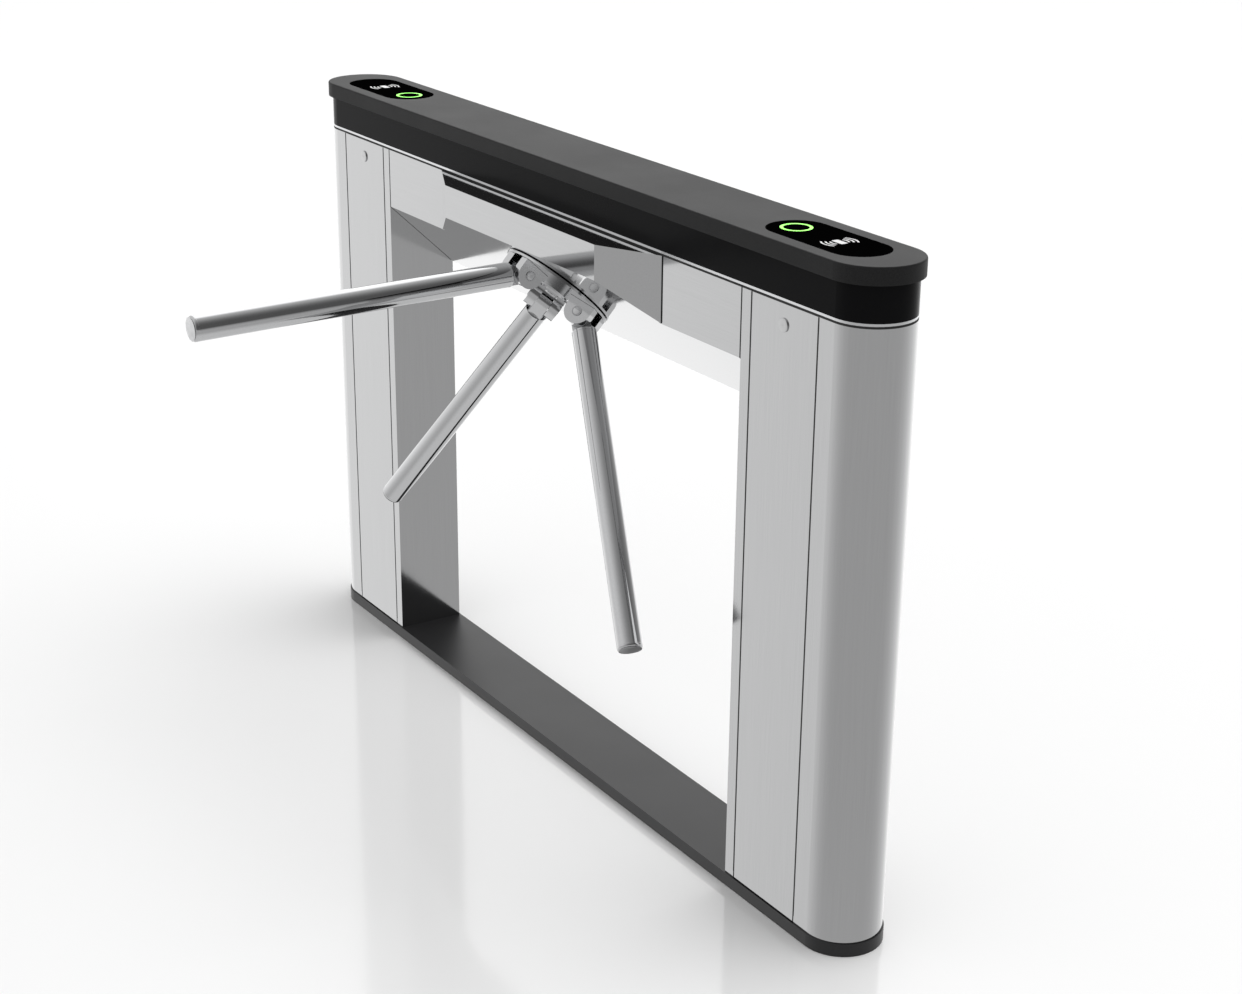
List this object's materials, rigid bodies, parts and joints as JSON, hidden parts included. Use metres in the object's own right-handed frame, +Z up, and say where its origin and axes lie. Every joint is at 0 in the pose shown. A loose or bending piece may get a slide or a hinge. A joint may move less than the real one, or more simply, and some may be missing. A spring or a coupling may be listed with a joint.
{
  "type": "tripod turnstile",
  "caption": "Bridge-type tripod turnstile: slim steel columns joined by a beam, a tilted hub with drop arms under the beam, reader windows in the lid.",
  "frame": {"origin": "bottom centre of the base plate, on the floor", "axes": "+X along the cabinet from the left to the right column, -Y to the passage side where the arms stand, +Z up"},
  "size_m": [1.5496, 0.6921, 0.98],
  "materials": {
    "floor_steel": "zinc plated, dull",
    "plinth_paint": "fine textured black",
    "panel_steel": "satin, slightly mirroring",
    "zinc_plate": "zinc plated sheet",
    "plain_steel": "turned steel",
    "lock_metal": "polished",
    "joint_foam": "matt black",
    "trim_alu": "bright anodised",
    "band_gloss": "glossy black",
    "lid_paint": "fine textured dark grey",
    "window_glass": "glossy, nearly black",
    "ring_light": "lit light guide, green",
    "circuit_board": "solder mask green",
    "cast_alu": "machined casting",
    "bearing_steel": "ground",
    "black_steel": "black oxide",
    "hub_metal": "polished",
    "arm_metal": "polished stainless steel",
    "gear_brass": "machined",
    "gear_plastic": "moulded nylon"
  },
  "bodies": {
    "housing": {"base_plate": "floor_steel", "plinth": "plinth_paint", "left_column_channel": "panel_steel", "right_column_channel": "panel_steel", "left_column_wrap": "panel_steel", "right_column_wrap": "panel_steel", "left_post": "zinc_plate", "right_post": "zinc_plate", "door_rods": "plain_steel", "lock_keepers": "zinc_plate", "beam_skin": "panel_steel", "bonnet": "panel_steel", "bonnet_seals": "joint_foam", "beam_rails": "zinc_plate", "deck": "zinc_plate", "body_joint": "joint_foam", "trim_strip": "trim_alu", "light_band": "band_gloss", "lid": "lid_paint", "left_window": "window_glass", "right_window": "window_glass", "left_light_ring": "ring_light", "right_light_ring": "ring_light", "left_reader": "circuit_board", "right_reader": "circuit_board", "chassis_plate": "zinc_plate", "chassis_brackets": "zinc_plate", "bearing_housing": "cast_alu", "main_bearings": "bearing_steel", "housing_screws": "black_steel", "damper": "black_steel", "lock_brackets": "zinc_plate", "left_solenoid": "black_steel", "right_solenoid": "black_steel", "power_supply": "zinc_plate", "control_board": "circuit_board"},
    "hub": {"main_shaft": "plain_steel", "hub_disc": "hub_metal", "hub_head": "hub_metal", "hub_cap": "hub_metal", "arm_pins": "plain_steel", "damper_gear": "gear_brass", "lock_wheel": "plain_steel"},
    "arm_1": {"arm_1_root": "hub_metal", "arm_1_tube": "arm_metal", "arm_1_cap": "arm_metal"},
    "arm_2": {"arm_2_root": "hub_metal", "arm_2_tube": "arm_metal", "arm_2_cap": "arm_metal"},
    "arm_3": {"arm_3_root": "hub_metal", "arm_3_tube": "arm_metal", "arm_3_cap": "arm_metal"},
    "damper_rotor": {"damper_pinion": "gear_plastic"},
    "left_lock_bolt": {"left_bolt": "plain_steel"},
    "left_service_door": {"left_door": "panel_steel"},
    "left_door_lock": {"left_lock": "lock_metal"},
    "right_lock_bolt": {"right_bolt": "plain_steel"},
    "right_service_door": {"right_door": "panel_steel"},
    "right_door_lock": {"right_lock": "lock_metal"}
  },
  "joints": [
    {"name": "hub_turn", "type": "hinge", "parent": "housing", "child": "hub", "pos_m": [0, -0.035, 0.77946], "axis": [0, -0.6845, -0.729], "continuous": true},
    {"name": "arm_1_drop", "type": "hinge", "parent": "hub", "child": "arm_1", "pos_m": [-0.00115, -0.09788, 0.80835], "axis": [0.9998, -0.0127, 0.0119], "range_deg": [0, 88]},
    {"name": "arm_2_drop", "type": "hinge", "parent": "hub", "child": "arm_2", "pos_m": [-0.05625, -0.02541, 0.7403], "axis": [-0.515, -0.6248, 0.5868], "range_deg": [0, 44]},
    {"name": "arm_3_drop", "type": "hinge", "parent": "hub", "child": "arm_3", "pos_m": [0.05739, -0.02686, 0.74166], "axis": [-0.4848, 0.6376, -0.5987], "range_deg": [0, 44]},
    {"name": "damper_turn", "type": "hinge", "parent": "housing", "child": "damper_rotor", "pos_m": [0.04815, -0.035, 0.77946], "axis": [0, -0.6845, -0.729], "continuous": true},
    {"name": "left_bolt_slide", "type": "slide", "parent": "housing", "child": "left_lock_bolt", "axis": [1, 0, 0], "range_m": [0, 0.0045]},
    {"name": "right_bolt_slide", "type": "slide", "parent": "housing", "child": "right_lock_bolt", "axis": [-1, 0, 0], "range_m": [0, 0.0045]},
    {"name": "left_door_tilt", "type": "hinge", "parent": "housing", "child": "left_service_door", "pos_m": [-0.605, -0.0541, 0.027], "axis": [1, 0, 0], "range_deg": [0, 15]},
    {"name": "left_lock_turn", "type": "hinge", "parent": "left_service_door", "child": "left_door_lock", "pos_m": [-0.605, -0.054, 0.871], "axis": [0, 1, 0], "range_deg": [0, 90]},
    {"name": "right_door_tilt", "type": "hinge", "parent": "housing", "child": "right_service_door", "pos_m": [0.605, -0.0541, 0.027], "axis": [1, 0, 0], "range_deg": [0, 15]},
    {"name": "right_lock_turn", "type": "hinge", "parent": "right_service_door", "child": "right_door_lock", "pos_m": [0.605, -0.054, 0.871], "axis": [0, -1, 0], "range_deg": [0, 90]}
  ],
  "couplings": [
    {"joint": "damper_turn", "follows": "hub_turn", "ratio": -3}
  ]
}
